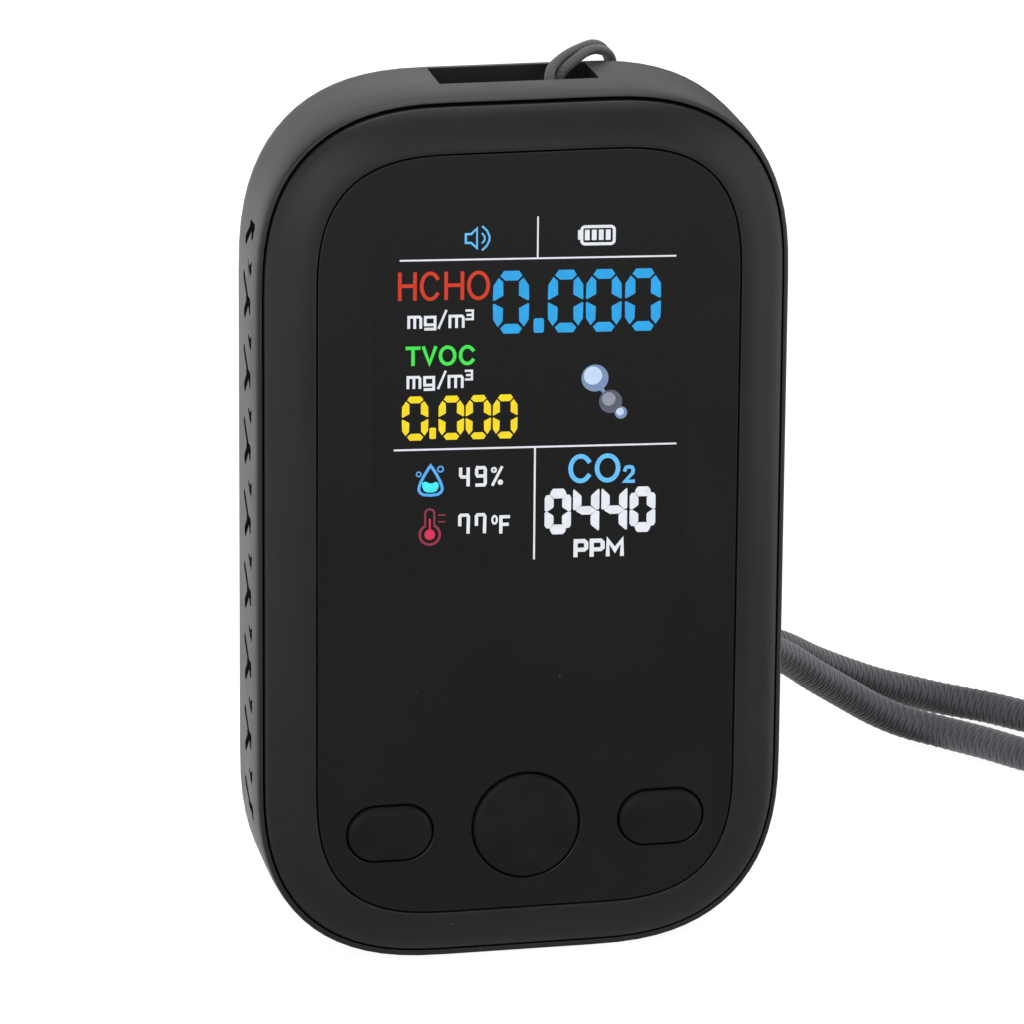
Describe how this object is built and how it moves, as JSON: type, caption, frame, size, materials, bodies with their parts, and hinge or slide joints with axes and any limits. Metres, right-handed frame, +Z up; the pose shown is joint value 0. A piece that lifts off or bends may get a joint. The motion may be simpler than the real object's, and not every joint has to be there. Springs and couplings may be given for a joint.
{
  "type": "air quality monitor",
  "caption": "Pocket air quality monitor: rounded upright case with a colour display, three keys, side vents and a wrist strap on a cord.",
  "frame": {"origin": "middle of the case's footprint, on the surface that it stands on", "axes": "+Z up along the case's height, -Y out of the display, +X to the viewer's right"},
  "size_m": [0.1068, 0.0621, 0.0785],
  "materials": {
    "case_plastic": "fine satin texture",
    "frame_plastic": "satin",
    "panel_black": "smooth dark panel",
    "key_plastic": "satin",
    "foam_black": "foam",
    "display_glass": "polished",
    "white_plastic": "satin",
    "polyimide": "film",
    "board_green": "solder mask",
    "chip_black": "moulded",
    "tinplate": "tinned",
    "steel": "plain",
    "pouch_foil": "foil",
    "cord_grey": "fine braid",
    "wire_red": "insulation"
  },
  "bodies": {
    "case": {"rear_shell": "case_plastic", "front_frame": "frame_plastic", "front_panel": "panel_black", "panel_gasket": "foam_black", "switch_left": "tinplate", "switch_round": "tinplate", "switch_right": "tinplate", "display_cell": "display_glass", "display_backlight": "white_plastic", "display_flex": "polyimide", "main_board": "board_green", "board_screw_top_left": "steel", "board_screw_top_right": "steel", "board_screw_bottom_left": "steel", "board_screw_bottom_right": "steel", "controller_chip": "chip_black", "co2_sensor": "tinplate", "hcho_sensor": "white_plastic", "tvoc_sensor": "tinplate", "humidity_sensor": "chip_black", "buzzer": "chip_black", "battery_plug": "white_plastic", "usb_port": "tinplate", "battery": "pouch_foil", "battery_pad": "foam_black", "battery_lead": "wire_red", "lanyard_pin": "steel", "lanyard_thin_loop": "cord_grey", "lanyard_ferrule": "cord_grey", "lanyard_strap": "cord_grey"},
    "key_left": {"key_left": "key_plastic", "switch_plunger_left": "key_plastic"},
    "key_round": {"key_round": "key_plastic", "switch_plunger_round": "key_plastic"},
    "key_right": {"key_right": "key_plastic", "switch_plunger_right": "key_plastic"}
  },
  "joints": [
    {"name": "key_left_press", "type": "slide", "parent": "case", "child": "key_left", "axis": [0, 1, 0], "range_m": [0, 0.0004], "stiffness_N_per_m": 1500},
    {"name": "key_round_press", "type": "slide", "parent": "case", "child": "key_round", "axis": [0, 1, 0], "range_m": [0, 0.0004], "stiffness_N_per_m": 1500},
    {"name": "key_right_press", "type": "slide", "parent": "case", "child": "key_right", "axis": [0, 1, 0], "range_m": [0, 0.0004], "stiffness_N_per_m": 1500}
  ]
}
